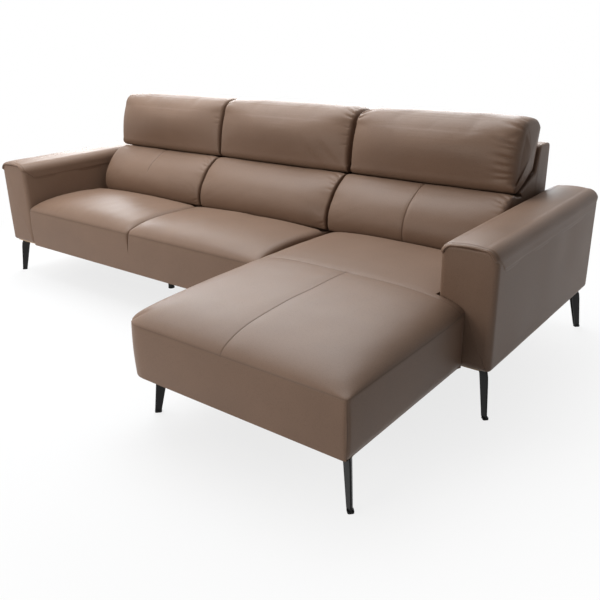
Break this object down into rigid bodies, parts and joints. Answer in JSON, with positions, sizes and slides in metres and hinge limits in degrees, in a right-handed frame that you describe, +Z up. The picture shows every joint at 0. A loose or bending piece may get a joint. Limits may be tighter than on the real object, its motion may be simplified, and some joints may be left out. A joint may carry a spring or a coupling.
{
  "type": "l-shaped sofa",
  "caption": "Leather corner sofa with a chaise, padded arms, lumbar rolls and tilting headrests, on dark metal blade legs",
  "frame": {"origin": "centre of the bounding box on the floor", "axes": "X to the right as seen from the front, Y to the rear, Z up"},
  "size_m": [2.76, 1.69, 0.9026],
  "materials": {
    "leather": "satin",
    "leg_metal": "satin",
    "black_plastic": "matte",
    "steel": "satin",
    "timber": "matte",
    "foam": "matte",
    "woven": "matte"
  },
  "bodies": {
    "sofa": {"back_webbing": "woven", "chaise_back_cover": "leather", "chaise_back_posts": "timber", "chaise_back_rails": "timber", "chaise_dust_cover": "woven", "chaise_front_rail": "timber", "chaise_left_leg": "leg_metal", "chaise_rear_rail": "timber", "chaise_right_leg": "leg_metal", "chaise_seat_core": "foam", "chaise_seat_cushion": "leather", "chaise_seat_springs": "steel", "chaise_side_rails": "timber", "connector_channels": "steel", "connector_tongues": "steel", "corner_blocks": "timber", "headrest_hinge_brackets": "steel", "headrest_hinge_pins": "steel", "left_arm_cover": "leather", "left_arm_frame": "timber", "left_arm_pad": "leather", "left_front_leg": "leg_metal", "left_lumbar_cushion": "leather", "left_rear_leg": "leg_metal", "left_seat_core": "foam", "left_seat_cushion": "leather", "leg_glides": "black_plastic", "leg_screws": "steel", "middle_lumbar_cushion": "leather", "middle_seat_core": "foam", "middle_seat_cushion": "leather", "right_arm_cover": "leather", "right_arm_frame": "timber", "right_arm_pad": "leather", "right_front_leg": "leg_metal", "right_lumbar_cushion": "leather", "right_rear_leg": "leg_metal", "sofa_back_cover": "leather", "sofa_back_posts": "timber", "sofa_back_rails": "timber", "sofa_cross_rails": "timber", "sofa_dust_cover": "woven", "sofa_front_rail": "timber", "sofa_rear_rail": "timber", "sofa_seat_springs": "steel", "spring_clips": "steel", "support_legs": "black_plastic"},
    "left_headrest": {"left_headrest_board": "timber", "left_headrest_hinge_arms": "steel", "left_headrest_cushion": "leather"},
    "middle_headrest": {"middle_headrest_board": "timber", "middle_headrest_hinge_arms": "steel", "middle_headrest_cushion": "leather"},
    "right_headrest": {"right_headrest_board": "timber", "right_headrest_hinge_arms": "steel", "right_headrest_cushion": "leather"}
  },
  "joints": [
    {"name": "left_headrest_tilt", "type": "hinge", "parent": "sofa", "child": "left_headrest", "pos_m": [0, 0.49673, 0.6555], "axis": [1, 0, 0], "range_deg": [0, 32]},
    {"name": "middle_headrest_tilt", "type": "hinge", "parent": "sofa", "child": "middle_headrest", "pos_m": [0, 0.49673, 0.6555], "axis": [1, 0, 0], "range_deg": [0, 32]},
    {"name": "right_headrest_tilt", "type": "hinge", "parent": "sofa", "child": "right_headrest", "pos_m": [0, 0.49673, 0.6555], "axis": [1, 0, 0], "range_deg": [0, 32]}
  ]
}
